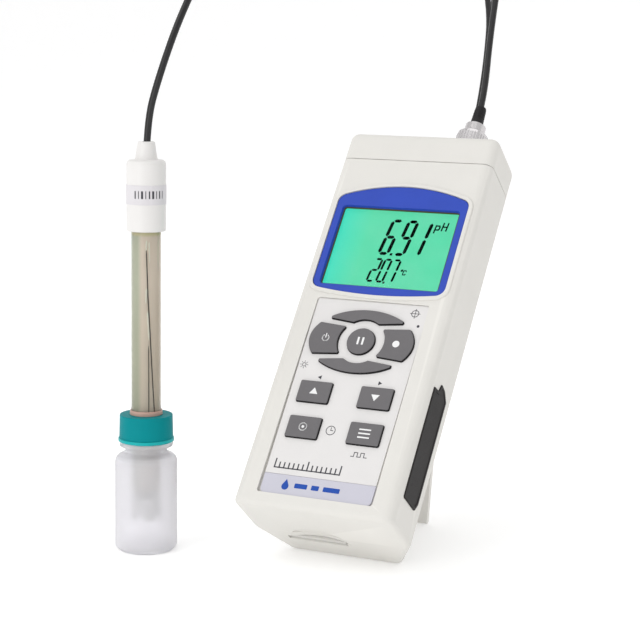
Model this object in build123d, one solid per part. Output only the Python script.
from build123d import *
from math import cos, pi, radians, sin, sqrt, tan
import os

# A handheld pH meter leaning on its fold-out stand, joined by its cable to a pH probe that
# stands in its storage bottle. Millimetres. Row frame: +Z up, front towards -Y, origin on the
# surface it stands on, under the middle of the instrument and the bottle.

# ---- driving dimensions of the meter, in its own frame: x right, y up its length, z back to front
case_length = 177.0
case_width = 68.0
case_depth = 45.0
back_half_width = 24.0
parting_z = 20.0
head_y = 162.8
wall = 2.2
front_inner_z = 42.4
end_edge_radius = 2.5

lean_back = 37.8
stand_angle = 52.0
stand_hinge_y = 75.0
stand_hinge_z = 1.6
stand_half_width = 17.9
stand_foot_half_width = 11.5
stand_thickness = 2.4
pin_radius = 1.0
running_gap = 0.05

panel_z = 43.4
panel_top_z = 44.4
panel_low_y = 14.2
panel_high_y = 93.8
band_low_y = 5.7
panel_half_width = 24.2

bezel_half_width = 29.3
bezel_side_low_y = 98.9
bezel_mid_low_y = 96.5
bezel_side_high_y = 143.5
bezel_mid_high_y = 149.3
bezel_top_z = 45.2
window_half_width = 26.0
window_low_y = 100.7
window_high_y = 138.7

cluster_y = 75.0
cluster_half_width = 22.7
cluster_half_height = 14.3
key_top_z = 45.6
key_bottom_z = 41.6
flange_top_z = 42.2
key_gap = 0.2
hold_radius = 6.05

board_low_z = 36.8
board_high_z = 38.4
mat_high_z = 39.4
dome_high_z = 40.6

cell_radius = 7.1
cell_length = 50.2
bay_half_width = 21.95
bay_low_y = 85.0
bay_high_y = 141.0
bay_top_z = 31.6
cover_thickness = 2.0
cover_low_y = 83.2
cover_high_y = 147.4
screw_inset_x = 25.2
screw_head_low_z = 7.8
screw_head_radius = 2.5
lower_screw_y = 9.0
upper_screw_y = 150.0
cover_screw_x = 14.0
cover_screw_y = 144.8
tripod_y = 153.2
tripod_radius = 3.175

card_centre_x = -7.25
card_width = 24.0
card_length = 32.0
card_thickness = 2.1
card_low_z = 13.45
slot_half_width = 13.0

side_recess = 1.2
cover_stand_out = 0.55
cover_bead_radius = 0.4
cover_hinge_z = 25.1
jack_z = 32.0
power_jack_y = 27.0
serial_jack_y = 40.5
reset_y = 51.0

bnc_x = 12.2
sensor_jack_x = -12.0
socket_z = 22.5
sensor_jack_radius = 1.8
barrel_radius = 4.8
nut_low_y = 180.2
nut_high_y = 192.4
boot_low_y = 197.0
boot_high_y = 207.0

# ---- driving dimensions of the probe and its bottle, heights above the surface
probe_x = -76.4
probe_y = -28.6
tube_radius = 6.0
tube_wall = 1.2
tube_low_z = 22.0
tube_high_z = 145.0
tip_low_z = 12.5
cap_radius = 7.8
cap_low_z = 131.3
cap_high_z = 157.7
boss_low_z = 159.1
boss_high_z = 166.1
label_low_z = 141.0
label_high_z = 148.7
bottle_radius = 12.5
bottle_wall = 1.2
shoulder_z = 38.0
neck_radius = 8.35
bead_low_z = 42.7
bead_high_z = 44.6
neck_top_z = 53.6
teal_low_z = 44.7
teal_high_z = 55.5
seal_high_z = 58.6

cord_radius = 1.4

# Where the row's origin lies in the frame used above, so that it is under the middle.
middle_x = -26.975
middle_y = 33.19

os.makedirs("parts", exist_ok=True)


# ---- shapes used again and again

def block(x0, x1, y0, y1, z0, z1):
    centre = Pos((x0 + x1) / 2, (y0 + y1) / 2, (z0 + z1) / 2)
    return centre * Box(x1 - x0, y1 - y0, z1 - z0)


def rod_z(radius, z0, z1, x=0.0, y=0.0):
    return Pos(x, y, (z0 + z1) / 2) * Cylinder(radius, z1 - z0)


def rod_y(radius, y0, y1, x, z):
    return Pos(x, (y0 + y1) / 2, z) * Rot(90, 0, 0) * Cylinder(radius, y1 - y0)


def rod_x(radius, x0, x1, y, z):
    return Pos((x0 + x1) / 2, y, z) * Rot(0, 90, 0) * Cylinder(radius, x1 - x0)


def ring_y(outer, inner, y0, y1, x, z):
    return rod_y(outer, y0, y1, x, z) - rod_y(inner, y0 - 1, y1 + 1, x, z)


def turned(profile):
    """A solid turned about Z from (radius, height) points."""
    return revolve(Plane.XZ * make_face(Polyline(*profile, close=True)), Axis.Z)


def raised(outline, z0, z1):
    """A flat outline drawn in x and y, given a thickness from z0 to z1."""
    return extrude(Pos(0, 0, z0) * outline, z1 - z0)


def rounded_corners(outline, radius):
    return fillet(outline.vertices(), radius)


# ---- the case as one outer form, cut into its housings

def case_section(inset, top_z):
    """Half as wide at the back as at the front, with rounded long edges."""
    half = case_width / 2 - inset
    back = back_half_width - inset * 0.6
    points = [(-half, top_z), (half, top_z), (half, parting_z), (back, inset), (-back, inset)]
    points.append((-half, parting_z))
    outline = make_face(Polyline(*points, close=True))
    edge_radius = 4.0 - inset
    for z, radius in ((top_z, edge_radius), (parting_z, 9.0), (inset, edge_radius)):
        corners = [v for v in outline.vertices() if abs(v.Y - z) < 0.01]
        outline = fillet(corners, radius)
    return outline


def case_block(y0, y1, inset=0.0, top_z=case_depth):
    section = Plane.XZ.offset(-y0) * case_section(inset, top_z)
    return extrude(section, y1 - y0, dir=(0, 1, 0))


def whole_case():
    solid = case_block(0, case_length)
    ends = solid.edges().filter_by_position(Axis.Y, -0.01, 0.01)
    solid = fillet(ends, end_edge_radius)
    ends = solid.edges().filter_by_position(Axis.Y, case_length - 0.01, case_length + 0.01)
    return fillet(ends, end_edge_radius)


def housing_cavity():
    return case_block(wall, head_y - wall, wall, front_inner_z)


def bezel_outline(grow=0.0):
    """A window frame's outline whose long edges bow outwards a little."""
    half = bezel_half_width + grow
    low, high = bezel_side_low_y - grow, bezel_side_high_y + grow
    lines = [
        ThreePointArc((-half, low), (0, bezel_mid_low_y - grow), (half, low)),
        Line((half, low), (half, high)),
        ThreePointArc((half, high), (0, bezel_mid_high_y + grow), (-half, high)),
        Line((-half, high), (-half, low)),
    ]
    return rounded_corners(make_face(lines), 4.0 + grow)


def on_cluster_edge(y):
    """How far out the cluster's elliptical edge is at a height above or below its middle."""
    return cluster_half_width * sqrt(1 - (y / cluster_half_height) ** 2)


def side_petal(side):
    """A key on the left or right of the round key: round outside, hollowed beside the round key."""
    half = 7.4
    hollow = 8.9
    inner = sqrt(hollow ** 2 - half ** 2)
    outer = on_cluster_edge(half)
    lines = [
        ThreePointArc((side * inner, -half), (side * hollow, 0), (side * inner, half)),
        Line((side * inner, half), (side * outer, half)),
        ThreePointArc((side * outer, half), (side * cluster_half_width, 0), (side * outer, -half)),
        Line((side * outer, -half), (side * inner, -half)),
    ]
    return rounded_corners(Pos(0, cluster_y) * make_face(lines), 0.8)


def crescent(side):
    """A fixed trim above or below the round key, notched by the ring round that key."""
    low = 8.9
    half = on_cluster_edge(low)
    lines = [
        ThreePointArc((-half, side * low), (0, side * cluster_half_height), (half, side * low)),
        Line((half, side * low), (-half, side * low)),
    ]
    return Pos(0, cluster_y) * (make_face(lines) - Circle(9.6))


def square_key(x, y):
    return Pos(x, y) * RectangleRounded(13.8, 9.4, 1.0)


key_outlines = {
    "key_power": side_petal(-1),
    "key_hold": Pos(0, cluster_y) * Circle(hold_radius),
    "key_record": side_petal(1),
    "key_up": square_key(-13.2, 50.6),
    "key_down": square_key(13.2, 50.6),
    "key_set": square_key(-13.2, 34.8),
    "key_log": square_key(13.2, 34.8),
}


def side_cover_outline():
    """The port cover seen from the side: x holds the case's y, and y holds its z."""
    points = [(17.0, cover_hinge_z), (61.2, cover_hinge_z), (64.3, 29.5), (65.0, 33.8), (61.3, 35.3)]
    points.append((60.7, 40.4))
    points = points + [(17.4, 40.4), (13.4, 36.0), (13.4, 28.0)]
    return rounded_corners(make_face(Polyline(*points, close=True)), 1.0)


def side_slab(outline, x0, x1):
    """An outline in the case's y and z, given a thickness from x0 to x1."""
    plane = Plane(origin=(x0, 0, 0), x_dir=(0, 1, 0), z_dir=(1, 0, 0))
    return extrude(plane * outline, x1 - x0)


# ---- the meter's pieces, each a function that returns one node's solid or solids

case_form = whole_case()
screw_places = [(side * screw_inset_x, y) for side in (-1, 1) for y in (lower_screw_y, upper_screw_y)]


def thumb_scoop():
    """The shallow arch over the card slot, hollowed from the bottom end."""
    radius = 51.5
    depth = 1.8
    ball = Pos(card_centre_x + 1.6, depth - radius, 12.5) * Sphere(radius)
    return ball & block(-40, 40, -5, 5, card_low_z + card_thickness - 0.1, 30)


def front_housing():
    solid = case_form & block(-50, 50, -1, head_y, parting_z, case_depth + 1)
    solid = solid - housing_cavity()
    solid = solid + (raised(bezel_outline(1.9), panel_z, case_depth + 0.6))
    solid = solid - raised(bezel_outline(0.15), panel_z, case_depth + 1)
    solid = solid - block(-27.8, 27.8, 98.6, 140.8, 40, case_depth)
    pocket = Pos(0, (band_low_y + panel_high_y) / 2) * RectangleRounded(
        2 * panel_half_width + 0.2, panel_high_y - band_low_y + 0.2, 2.0)
    solid = solid - raised(pocket, panel_z, case_depth + 1)
    for outline in key_outlines.values():
        solid = solid - raised(offset(outline, key_gap), front_inner_z - 1, panel_z + 1)
    for x, y in screw_places:
        solid = solid + (rod_z(3.2, parting_z, front_inner_z + 0.2, x, y) & case_form)
        solid = solid - rod_z(1.5, parting_z - 1, parting_z + 14, x, y)
    face_x = case_width / 2
    solid = solid - side_slab(offset(side_cover_outline(), 0.12), face_x - side_recess, face_x + 1)
    for y, radius in ((power_jack_y, 4.2), (serial_jack_y, 3.0), (reset_y, 1.7)):
        solid = solid - rod_x(radius, 28, face_x + 1, y, jack_z)
    return solid - thumb_scoop()


def rear_housing():
    solid = case_form & block(-50, 50, -1, head_y, -1, parting_z)
    solid = solid - housing_cavity()
    bay_wall = 1.2
    outer = block(-bay_half_width - bay_wall, bay_half_width + bay_wall, bay_low_y - bay_wall,
                  bay_high_y + bay_wall, cover_thickness + 0.05, bay_top_z + bay_wall)
    pad = block(-bay_half_width - bay_wall, bay_half_width + bay_wall, bay_high_y, 148.6, wall, 4.2)
    solid = solid + outer + pad
    for side in (-1, 1):
        solid = solid + rod_z(2.3, 4.0, 11.0, side * cover_screw_x, cover_screw_y)
    solid = solid - block(-bay_half_width, bay_half_width, bay_low_y, bay_high_y, -1, bay_top_z)
    solid = solid - block(-bay_half_width, bay_half_width, cover_low_y - 0.15, cover_high_y + 0.15,
                          -1, cover_thickness + 0.05)
    for side in (-1, 1):
        solid = solid - rod_z(1.15, 1, 10.0, side * cover_screw_x, cover_screw_y)
    solid = solid + block(-20.6, 20.6, 5.0, 79.4, wall - 0.2, 5.4)
    solid = solid - block(-18.2, 18.2, 8.0, 77.2, -1, 3.3)
    solid = solid - rod_x(pin_radius, -20.0, 20.0, stand_hinge_y, stand_hinge_z)
    solid = solid + (rod_z(6.4, 1.0, 10.2, 0, tripod_y) - rod_z(6.4, -1, wall - 0.1, 0, tripod_y))
    solid = solid - rod_z(5.0, -1, 9.0, 0, tripod_y)
    for x, y in screw_places:
        solid = solid + (rod_z(4.0, 1.0, parting_z, x, y) & case_form)
        solid = solid - rod_z(2.8, -1, screw_head_low_z + 2.2, x, y) - rod_z(1.65, -1, parting_z + 1, x, y)
    slot = block(card_centre_x - slot_half_width, card_centre_x + slot_half_width, -1, wall + 0.5,
                 card_low_z - 0.3, card_low_z + card_thickness + 0.3)
    return solid - slot - thumb_scoop()


def top_cover():
    solid = case_form & block(-50, 50, head_y, case_length + 1, -1, case_depth + 1)
    solid = solid - case_block(head_y - 1, case_length - wall, wall, front_inner_z)
    solid = solid - rod_y(barrel_radius, 170, 180, bnc_x, socket_z)
    return solid - rod_y(3.0, 170, 180, sensor_jack_x, socket_z)


def display_bezel():
    solid = raised(bezel_outline(), panel_z, bezel_top_z)
    middle = (window_low_y + window_high_y) / 2
    window = Pos(0, middle) * RectangleRounded(2 * window_half_width, window_high_y - window_low_y, 1.5)
    return solid - raised(window, panel_z - 1, bezel_top_z + 1)


def display_lens():
    return block(-27.6, 27.6, 98.8, 140.6, front_inner_z, panel_z)


def lcd_panel():
    return block(-29.0, 29.0, 97.4, 142.4, 40.5, front_inner_z)


def lcd_backlight():
    lamp_bar = block(-29.0, -27.0, 103, 137, board_high_z, 40.5)
    return block(-27.0, 27.0, 98.5, 141.0, board_high_z, 40.5) + lamp_bar


def keypad_panel():
    middle = (panel_low_y + panel_high_y) / 2
    outline = Pos(0, middle) * Rectangle(2 * panel_half_width, panel_high_y - panel_low_y)
    upper = [v for v in outline.vertices() if v.Y > middle]
    outline = fillet(upper, 2.0)
    solid = raised(outline, panel_z, panel_top_z)
    for key in key_outlines.values():
        solid = solid - raised(offset(key, key_gap), panel_z - 1, panel_top_z + 1)
    return solid


def name_band():
    middle = (band_low_y + panel_low_y) / 2
    outline = Pos(0, middle) * Rectangle(2 * panel_half_width, panel_low_y - band_low_y)
    lower = [v for v in outline.vertices() if v.Y < middle]
    return raised(fillet(lower, 2.0), panel_z, panel_top_z)


def key_centre(outline):
    box = outline.bounding_box()
    return (box.min.X + box.max.X) / 2, (box.min.Y + box.max.Y) / 2


def keypad_mat():
    solid = block(-25, 25, 22, 91, board_high_z, mat_high_z)
    for outline in key_outlines.values():
        x, y = key_centre(outline)
        solid = solid + rod_z(2.6, mat_high_z, dome_high_z, x, y)
    return solid


def key_solid(outline):
    """A key cap that stands through the panel, held in by a flange under the housing."""
    cap = raised(outline, key_bottom_z, key_top_z)
    cap = chamfer(cap.faces().sort_by(Axis.Z)[-1].edges(), 0.35)
    return cap + raised(offset(outline, 0.7), key_bottom_z, flange_top_z)


def main_board():
    solid = block(-30.6, 30.6, 4.0, 157.0, board_low_z, board_high_z)
    for x, y in screw_places:
        solid = solid - rod_z(4.0, board_low_z - 1, board_high_z + 1, x, y)
    chips = [(-14, 60, 12, 12), (8, 68, 10, 8), (9, 20, 8, 6), (-4, 24, 7, 5), (-18, 30, 6, 9)]
    for x, y, width, height in chips:
        solid = solid + Pos(x, y, board_low_z - 0.8) * Box(width, height, 1.6)
    return solid


def card_board():
    """The small board in the lower rear housing that carries the memory card's socket."""
    solid = block(-20.9, 12.0, 5.0, 46.0, 11.0, 12.6)
    return solid + block(-20.0, -10.0, 38.0, 44.0, 12.6, 15.6)


def card_socket():
    low_z = 12.6
    top_z = 16.4
    left, right = card_centre_x - card_width / 2, card_centre_x + card_width / 2
    solid = block(left - 1.6, right + 1.6, 4.0, 35.6, low_z, top_z)
    card_top_z = card_low_z + card_thickness
    return solid - block(left - 0.1, right + 0.1, 3, 33.2, card_low_z - 0.1, card_top_z + 0.1)


def memory_card():
    half = card_width / 2
    low = 0.7
    cut = 4.0
    points = [(-half, low), (half, low), (half, low + card_length - cut), (half - cut, low + card_length)]
    points.append((-half, low + card_length))
    outline = Pos(card_centre_x, 0) * make_face(Polyline(*points, close=True))
    return raised(outline, card_low_z, card_low_z + card_thickness)


def side_cover():
    """A rubber flap with a round bead along its back edge, which it swings open on."""
    face_x = case_width / 2
    flap = side_slab(side_cover_outline(), face_x - side_recess + 0.05, face_x + cover_stand_out)
    return flap + rod_y(cover_bead_radius, 19.0, 59.0, face_x + cover_stand_out, cover_hinge_z)


def serial_jack():
    solid = block(20.0, 31.7, serial_jack_y - 3.4, serial_jack_y + 3.4, jack_z - 3.2, board_low_z)
    solid = solid - block(19, 32, serial_jack_y - 4, serial_jack_y + 4, jack_z + 3.4, board_low_z - 0.8)
    post = block(20.0, 31.0, serial_jack_y - 2.0, serial_jack_y + 2.0, jack_z + 3.0, board_low_z)
    return solid + post - rod_x(1.8, 21, 33, serial_jack_y, jack_z)


def power_jack():
    solid = block(18.0, 31.7, power_jack_y - 4.6, power_jack_y + 4.6, jack_z - 4.8, board_low_z)
    solid = solid - rod_x(3.0, 21, 33, power_jack_y, jack_z)
    return solid + rod_x(1.0, 20, 30.5, power_jack_y, jack_z)


def reset_switch():
    body = block(25.2, 30.2, reset_y - 3, reset_y + 3, jack_z - 3, board_low_z)
    return body - rod_x(1.55, 27.5, 31, reset_y, jack_z)


def reset_button():
    return rod_x(1.5, 28.2, 32.5, reset_y, jack_z)


def battery_cover():
    gap = 0.15
    solid = block(-bay_half_width + gap, bay_half_width - gap, cover_low_y, cover_high_y, 0, cover_thickness)
    for rib in range(5):
        y = 130 + rib * 2.2
        solid = solid - block(-9, 9, y, y + 1.0, -1, 0.5)
    for side in (-1, 1):
        x = side * cover_screw_x
        solid = solid - rod_z(1.1, -1, 3, x, cover_screw_y) - rod_z(2.3, -1, 1.2, x, cover_screw_y)
    return solid


def battery_cover_screws():
    screws = []
    for side in (-1, 1):
        x = side * cover_screw_x
        head = rod_z(2.2, 0.2, 1.2, x, cover_screw_y) - block(x - 0.3, x + 0.3, 142, 148, -1, 0.7)
        screws.append(head + rod_z(1.1, 1.2, 9.0, x, cover_screw_y))
    return screws


def battery_cells():
    cells = []
    for layer in range(2):
        for column in (-1, 0, 1):
            turn = 1 if (column + layer) % 2 == 0 else -1
            z = 2.3 + cell_radius + layer * 2 * (cell_radius + 0.1)
            x = column * 2 * (cell_radius + 0.1)
            middle = (bay_low_y + bay_high_y) / 2
            can = rod_y(cell_radius, middle - cell_length / 2 + 0.6, middle + cell_length / 2 - 0.6, x, z)
            tip_y = middle + turn * (cell_length / 2 - 0.7)
            cells.append(can + rod_y(2.6, tip_y - 0.7, tip_y + 0.7, x, z))
    return cells


def battery_contacts():
    """A sprung plate at each end of each column of cells, which also joins the layers."""
    contacts = []
    for column in (-1, 0, 1):
        x = column * 2 * (cell_radius + 0.1)
        for y0, y1 in ((bay_low_y, bay_low_y + 0.4), (bay_high_y - 0.4, bay_high_y)):
            plate = block(x - 5, x + 5, y0, y1, 4.0, 29.0)
            inner = y1 if y0 == bay_low_y else y0 - 1.8
            for layer in range(2):
                z = 2.3 + cell_radius + layer * 2 * (cell_radius + 0.1)
                plate = plate + rod_y(3.4, inner, inner + 1.8, x, z) - rod_y(2.8, inner, inner + 1.8, x, z)
            contacts.append(plate)
    return contacts


def stand_length():
    """From the hinge to the foot's middle, so that the foot and the case's edge both touch down."""
    hinge_height = stand_hinge_y * cos(radians(lean_back)) + stand_hinge_z * sin(radians(lean_back))
    reach = hinge_height - case_drop() - stand_thickness / 2
    return reach / cos(radians(stand_angle - lean_back))


def stand():
    """A flap that narrows to its foot, drawn closed along -Y from its hinge and then swung open."""
    half = stand_thickness / 2
    length = stand_length()
    foot = stand_foot_half_width
    points = [(-foot, -length), (foot, -length), (stand_half_width, -18), (stand_half_width, 0)]
    points = points + [(-stand_half_width, 0), (-stand_half_width, -18)]
    flap = raised(make_face(Polyline(*points, close=True)), -half, half)
    flap = flap + rod_x(half, -foot, foot, -length, 0)
    flap = flap + rod_x(1.5, -stand_half_width, stand_half_width, 0, 0)
    flap = flap - rod_x(pin_radius + running_gap, -30, 30, 0, 0)
    return Pos(0, stand_hinge_y, stand_hinge_z) * Rot(stand_angle, 0, 0) * flap


def stand_pin():
    return rod_x(pin_radius, -20.0, 20.0, stand_hinge_y, stand_hinge_z)


def case_screws():
    screws = []
    for x, y in screw_places:
        low, high = screw_head_low_z, screw_head_low_z + 2.2
        cross = Box(3.6, 0.8, 2) + Box(0.8, 3.6, 2)
        head = rod_z(screw_head_radius, low, high, x, y) - Pos(x, y, low) * cross
        screws.append(head + rod_z(1.5, high, parting_z + 12, x, y))
    return screws


def tripod_nut():
    return rod_z(5.0, 0.4, 9.0, 0, tripod_y) - rod_z(tripod_radius, 0, 8.4, 0, tripod_y)


def bnc_socket():
    top_y = 188.4
    solid = rod_y(6.8, case_length - wall - 2.2, case_length - wall, bnc_x, socket_z)
    solid = solid + rod_y(barrel_radius, 167, top_y, bnc_x, socket_z)
    for side in (-1, 1):
        lug = rod_x(1.0, min(side * 4.0, side * 5.55), max(side * 4.0, side * 5.55), 185.6, 0)
        solid = solid + Pos(bnc_x, 0, socket_z) * lug
    return solid - rod_y(4.05, 180.6, top_y + 1, bnc_x, socket_z) - rod_y(1.6, 166, 190, bnc_x, socket_z)


def bnc_contact():
    """The socket's insulator with the spring contact that takes the plug's pin."""
    contact = rod_y(1.1, 163.5, 187.0, bnc_x, socket_z) - rod_y(0.75, 181, 188, bnc_x, socket_z)
    return contact + ring_y(1.6, 1.05, 167, 184, bnc_x, socket_z)


def bnc_socket_nut():
    hexagon = RegularPolygon(7.4, 6)
    plane = Plane(origin=(bnc_x, case_length, socket_z), x_dir=(1, 0, 0), z_dir=(0, 1, 0))
    return extrude(plane * hexagon, 2.4) - rod_y(barrel_radius, 170, 190, bnc_x, socket_z)


def temperature_jack():
    solid = rod_y(3.0, 163.5, case_length + 0.6, sensor_jack_x, socket_z)
    solid = solid + rod_y(4.4, case_length, case_length + 0.6, sensor_jack_x, socket_z)
    solid = solid + block(sensor_jack_x - 4.4, sensor_jack_x + 4.4, 163.5, case_length - wall, 18.5, 26.5)
    return solid - rod_y(sensor_jack_radius, case_length - 11.4, case_length + 1, sensor_jack_x, socket_z)


def buzzer():
    return rod_z(6.0, 32.4, board_low_z, 20.0, 76.0) - rod_z(1.0, 32, 33.4, 20.0, 76.0)


def bnc_plug_body():
    solid = rod_y(3.95, 181.2, 189.9, bnc_x, socket_z) - rod_y(2.9, 180, 188.6, bnc_x, socket_z)
    solid = solid + rod_y(5.6, 188.7, 189.9, bnc_x, socket_z) + rod_y(3.8, 189.9, 193.0, bnc_x, socket_z)
    solid = solid + rod_y(4.6, 192.6, boot_low_y, bnc_x, socket_z)
    solid = solid + rod_y(2.3, boot_low_y, boot_low_y + 2.5, bnc_x, socket_z)
    return solid - rod_y(0.7, 187, 201, bnc_x, socket_z)


def bnc_plug_pin():
    return rod_y(0.7, 182.0, boot_low_y + 2.5, bnc_x, socket_z)


def bnc_coupling_nut():
    """Turns a quarter on the plug: its lip passes the socket's two lugs only when its slots meet them."""
    solid = rod_y(7.25, nut_low_y, nut_high_y, bnc_x, socket_z)
    for place in range(24):
        turn = radians(place * 15)
        x, z = bnc_x + 7.55 * cos(turn), socket_z + 7.55 * sin(turn)
        solid = solid - rod_y(0.55, nut_low_y + 4.5, nut_high_y - 1.0, x, z)
    solid = solid - rod_y(3.86, 180, 194, bnc_x, socket_z)
    solid = solid - rod_y(4.95, nut_low_y - 1, nut_low_y + 4, bnc_x, socket_z)
    solid = solid - rod_y(5.75, nut_low_y + 3.2, 190.0, bnc_x, socket_z)
    slot = block(bnc_x - 1.2, bnc_x + 1.2, nut_low_y - 1, nut_low_y + 4, socket_z - 5.75, socket_z + 5.75)
    return solid - slot


def cable_boot():
    profile = [(0, boot_low_y - 1.6), (4.9, boot_low_y - 1.6), (4.9, boot_low_y + 0.4)]
    profile = profile + [(3.3, boot_low_y + 1.6), (2.5, boot_low_y + 4.0), (2.2, boot_high_y), (0, boot_high_y)]
    solid = revolve(make_face(Polyline(*profile, close=True)), Axis.Y)
    solid = Pos(bnc_x, 0, socket_z) * solid
    solid = solid - rod_y(4.6, 190, boot_low_y, bnc_x, socket_z)
    solid = solid - rod_y(2.3, 190, boot_low_y + 2.5, bnc_x, socket_z)
    return solid - rod_y(cord_radius, 190, boot_high_y + 1, bnc_x, socket_z)


# ---- the probe and its bottle, about their own upright axis

def probe_cap():
    profile = [(0, cap_low_z), (cap_radius, cap_low_z), (cap_radius, cap_high_z - 0.8)]
    profile = profile + [(cap_radius - 0.8, cap_high_z), (5.4, cap_high_z), (4.25, boss_low_z)]
    profile = profile + [(3.4, boss_high_z - 0.6), (2.8, boss_high_z), (0, boss_high_z)]
    solid = turned(profile)
    solid = solid - rod_z(tube_radius, cap_low_z - 1, tube_high_z)
    return solid - rod_z(cord_radius + 0.15, tube_high_z - 1, boss_high_z + 1)


def probe_label():
    return rod_z(cap_radius + 0.15, label_low_z, label_high_z) - rod_z(cap_radius, 100, 160)


def probe_tube():
    outer = rod_z(tube_radius, tube_low_z, tube_high_z)
    return outer - rod_z(tube_radius - tube_wall, tube_low_z - 1, tube_high_z + 1) - junction_plug()


def tip_guard():
    """The tube's castellated end, which keeps the glass bulb off the bottom of a beaker."""
    solid = rod_z(tube_radius, tip_low_z, tube_low_z) - rod_z(tube_radius - tube_wall, 10, 30)
    for turn in (0, 90):
        solid = solid - Rot(0, 0, turn) * block(-10, 10, -2.0, 2.0, tip_low_z - 1, tube_low_z - 4.5)
    return solid


def probe_stopper():
    hole = rod_z(2.6, 130, 146)
    return rod_z(tube_radius - tube_wall, tube_high_z - 9, tube_high_z) - hole


def glass_stem():
    return rod_z(2.6, tube_low_z, tube_high_z) - rod_z(1.9, 0, tube_high_z + 1)


def sensing_bulb():
    middle = 18.4
    ball = Pos(0, 0, middle) * Sphere(3.4)
    ball = ball + rod_z(2.6, middle, tube_low_z)
    return ball - Pos(0, 0, middle) * Sphere(3.0) - rod_z(1.9, middle, tube_low_z + 1)


def silver_wire():
    return rod_z(0.45, 19.0, tube_high_z)


def reference_wire():
    """Leans across the gap between the stem and the tube."""
    low = Vector(3.7, -0.35, 52.0)
    high = Vector(2.1, -3.2, 126.0)
    plane = Plane(origin=low, z_dir=high - low)
    return extrude(plane * Circle(0.35), (high - low).length)


def junction_plug():
    return rod_x(0.6, tube_radius - tube_wall - 0.2, tube_radius, 0, 25.0)


def bottle():
    inner = bottle_radius - bottle_wall
    profile = [(0, 0), (bottle_radius - 1.5, 0), (bottle_radius, 1.5), (bottle_radius, shoulder_z - 3.5)]
    profile = profile + [(bottle_radius - 1.2, shoulder_z - 1.0), (neck_radius + 1.0, shoulder_z + 1.0)]
    profile = profile + [(neck_radius, 39.6), (neck_radius, bead_low_z), (10.65, bead_low_z)]
    profile = profile + [(10.65, bead_high_z), (neck_radius, bead_high_z), (neck_radius, neck_top_z)]
    profile = profile + [(neck_radius - bottle_wall, neck_top_z), (neck_radius - bottle_wall, 39.0)]
    profile = profile + [(inner - 1.6, shoulder_z - 2.2), (inner, shoulder_z - 4.2), (inner, 2.4)]
    profile = profile + [(inner - 1.2, 1.2), (0, 1.2)]
    return turned(profile)


def bottle_cap():
    lip, side, hole = 11.2, 10.75, tube_radius + running_gap
    profile = [(lip, teal_low_z), (lip, teal_low_z + 1.2), (side, teal_low_z + 1.8), (side, teal_high_z - 0.6)]
    profile = profile + [(side - 0.6, teal_high_z), (hole, teal_high_z), (hole, neck_top_z + 0.2)]
    profile = profile + [(neck_radius + 0.25, neck_top_z + 0.2), (neck_radius + 0.25, teal_low_z)]
    return turned(profile)


def seal_ring():
    middle = (teal_high_z + seal_high_z) / 2
    hole = tube_radius + running_gap
    return turned([(hole, teal_high_z), (7.2, teal_high_z), (7.7, middle), (7.2, seal_high_z), (hole, seal_high_z)])


# ---- the cable: two free runs and the coil between them, in the row frame's directions

coil_x = -52.0
coil_y = 128.0
coil_radius = 16.0
coil_half_width = 3.1
coil_height = 10.3


def case_drop():
    """The rounded lower back edge lets the case sit this much lower."""
    edge = end_edge_radius
    return edge * (cos(radians(lean_back)) + sin(radians(lean_back)) - 1)


def on_meter(x, y, z):
    """A point of the meter's own frame, in the frame that the probe stands in."""
    turn = radians(lean_back)
    height = y * cos(turn) + z * sin(turn) - case_drop()
    return (x, y * sin(turn) - z * cos(turn), height)


exit_low = on_meter(bnc_x, boot_low_y + 2.5, socket_z)
exit_high = on_meter(bnc_x, boot_high_y + 6.0, socket_z)

probe_run = [
    (probe_x, probe_y, tube_high_z + 7.0),
    (probe_x, probe_y, 171.5),
    (-70.9, -28.0, 190.5),
    (-64.5, -21.0, 216.0),
    (-61.0, 2.0, 245.0),
    (-56.0, 36.0, 264.0),
    (-46.0, 76.0, 272.0),
    (-28.0, 114.0, 270.0),
    (-11.0, 144.0, 258.0),
    (-4.6, 165.0, 226.0),
    (-8.6, 171.0, 192.0),
    (-14.5, 172.5, 160.0),
    (-27.0, 170.5, 128.0),
    (-38.0, 167.0, 97.0),
    (-48.0, 164.0, 67.0),
    (-57.0, 163.5, 38.0),
    (-63.5, 160.0, 16.0),
    (-67.0, 150.0, 4.0),
    (-68.0, 136.0, 1.6),
]

meter_run = [
    exit_low,
    exit_high,
    (8.6, 128.0, 208.0),
    (5.0, 150.0, 242.0),
    (-3.0, 182.0, 257.0),
    (-17.4, 204.0, 230.0),
    (-21.0, 206.5, 192.0),
    (-26.5, 204.0, 158.0),
    (-34.0, 198.0, 127.0),
    (-39.0, 189.0, 97.0),
    (-41.0, 180.0, 67.0),
    (-40.0, 172.0, 38.0),
    (-38.0, 162.5, 20.0),
    (-36.4, 150.0, 10.5),
    (-36.0, 136.0, 8.6),
]


def corner_radii(points):
    """As large as the two runs at each corner allow."""
    radii = []
    for before, here, after in zip(points, points[1:], points[2:]):
        into = Vector(*here) - Vector(*before)
        out = Vector(*after) - Vector(*here)
        half_turn = radians(into.get_angle(out)) / 2
        radii.append(0.45 * min(into.length, out.length) / tan(half_turn))
    return radii


def cord_tube(points):
    radii = corner_radii(points)
    path = FilletPolyline(*points, radius=radii)
    start = Plane(origin=path @ 0, z_dir=path % 0)
    solid = sweep(start * Circle(cord_radius), path=path)
    expected = pi * cord_radius ** 2 * path.length
    print("cord length", round(path.length, 1), "smallest radius", round(min(radii), 1),
          "radii", [round(radius) for radius in radii], "volume ratio", round(solid.volume / expected, 4))
    return solid


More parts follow.
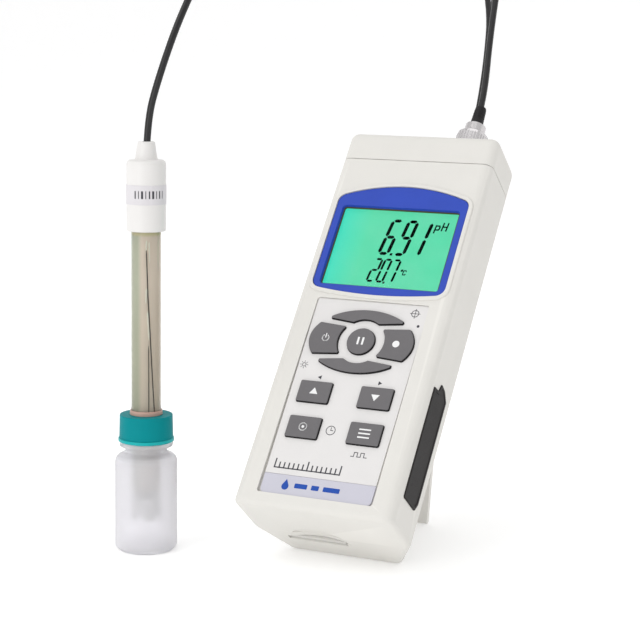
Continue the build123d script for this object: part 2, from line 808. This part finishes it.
def cable_coil():
    ring = rod_z(coil_radius + coil_half_width, 0, coil_height, coil_x, coil_y)
    ring = ring - rod_z(coil_radius - coil_half_width, -1, coil_height + 1, coil_x, coil_y)
    return fillet(ring.edges().filter_by(GeomType.CIRCLE), 1.2)


# ---- every node, put in its place and written

in_row = Pos(-middle_x, -middle_y, 0)
meter_place = in_row * Pos(0, 0, -case_drop()) * Rot(90 - lean_back, 0, 0)
probe_place = in_row * Pos(probe_x, probe_y, 0)

meter_nodes = {
    "front_housing": front_housing(),
    "rear_housing": rear_housing(),
    "top_cover": top_cover(),
    "display_bezel": display_bezel(),
    "display_lens": display_lens(),
    "lcd_panel": lcd_panel(),
    "lcd_backlight": lcd_backlight(),
    "keypad_panel": keypad_panel(),
    "name_band": name_band(),
    "keypad_mat": keypad_mat(),
    "crescent_trims": [raised(crescent(side), panel_top_z, panel_top_z + 0.6) for side in (-1, 1)],
    "main_board": main_board(),
    "card_board": card_board(),
    "card_socket": card_socket(),
    "memory_card": memory_card(),
    "side_cover": side_cover(),
    "serial_jack": serial_jack(),
    "power_jack": power_jack(),
    "reset_switch": reset_switch(),
    "reset_button": reset_button(),
    "battery_cover": battery_cover(),
    "battery_cover_screws": battery_cover_screws(),
    "battery_cells": battery_cells(),
    "battery_contacts": battery_contacts(),
    "stand": stand(),
    "stand_pin": stand_pin(),
    "case_screws": case_screws(),
    "tripod_nut": tripod_nut(),
    "bnc_socket": bnc_socket(),
    "bnc_contact": bnc_contact(),
    "bnc_socket_nut": bnc_socket_nut(),
    "temperature_jack": temperature_jack(),
    "buzzer": buzzer(),
    "bnc_plug_body": bnc_plug_body(),
    "bnc_plug_pin": bnc_plug_pin(),
    "bnc_coupling_nut": bnc_coupling_nut(),
    "cable_boot": cable_boot(),
}
for key_name, key_outline in key_outlines.items():
    meter_nodes[key_name] = key_solid(key_outline)

probe_nodes = {
    "probe_cap": probe_cap(),
    "probe_label": probe_label(),
    "probe_tube": probe_tube(),
    "tip_guard": tip_guard(),
    "probe_stopper": probe_stopper(),
    "glass_stem": glass_stem(),
    "sensing_bulb": sensing_bulb(),
    "silver_wire": silver_wire(),
    "reference_wire": reference_wire(),
    "junction_plug": junction_plug(),
    "bottle": bottle(),
    "bottle_cap": bottle_cap(),
    "seal_ring": seal_ring(),
}

cable_nodes = {
    "cable_probe_run": cord_tube(probe_run),
    "cable_meter_run": cord_tube(meter_run),
    "cable_coil": cable_coil(),
}


def write_nodes(nodes, place):
    for name, shape in nodes.items():
        pieces = shape if isinstance(shape, list) else [shape]
        solids = [solid for piece in pieces for solid in piece.solids()]
        whole = Compound(children=[place * solid for solid in solids])
        export_step(whole, "parts/" + name + ".step")


write_nodes(meter_nodes, meter_place)
write_nodes(probe_nodes, probe_place)
write_nodes(cable_nodes, in_row)
